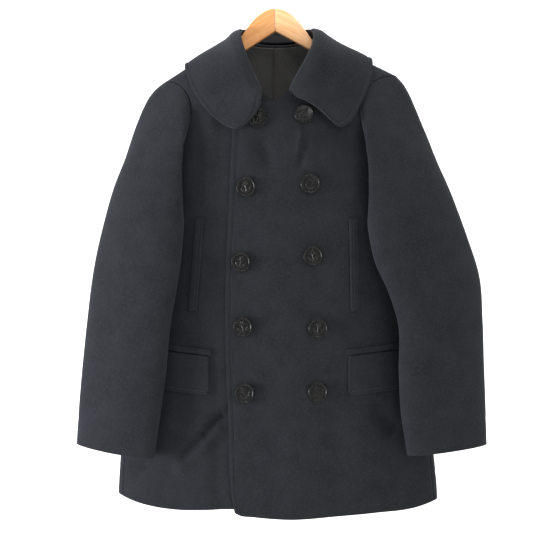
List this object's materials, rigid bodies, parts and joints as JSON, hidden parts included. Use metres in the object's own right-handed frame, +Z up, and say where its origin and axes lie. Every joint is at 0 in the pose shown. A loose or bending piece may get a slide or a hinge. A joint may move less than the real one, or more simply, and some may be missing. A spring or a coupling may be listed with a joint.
{
  "type": "pea coat on wooden hanger",
  "caption": "Double-breasted wool pea coat with a wide rounded collar, hanging flat on a plain two-part wooden hanger.",
  "frame": {"origin": "top of the hanger's crown, where the hanger is held", "axes": "+Z up, +X towards the wearer's left, the coat's front faces -Y"},
  "size_m": [0.678, 0.1698, 0.8419],
  "materials": {
    "wool": "felted melton, very dark navy",
    "lining": "smooth dark lining",
    "button": "polished near-black",
    "wood": "pale beech under clear satin lacquer"
  },
  "bodies": {
    "root": {"front_left_over": "wool", "front_right_under": "wool", "back": "wool", "sleeve_top_left": "wool", "sleeve_under_left": "wool", "sleeve_top_right": "wool", "sleeve_under_right": "wool", "collar": "wool", "welt_left": "wool", "welt_right": "wool", "flap_left": "wool", "flap_right": "wool", "jet_left": "wool", "jet_right": "wool", "back_lining": "lining", "button_01": "button", "button_02": "button", "button_03": "button", "button_04": "button", "button_05": "button", "button_06": "button", "button_07": "button", "button_08": "button", "button_09": "button", "button_10": "button", "hanger_half_left": "wood", "hanger_half_right": "wood"}
  },
  "joints": []
}
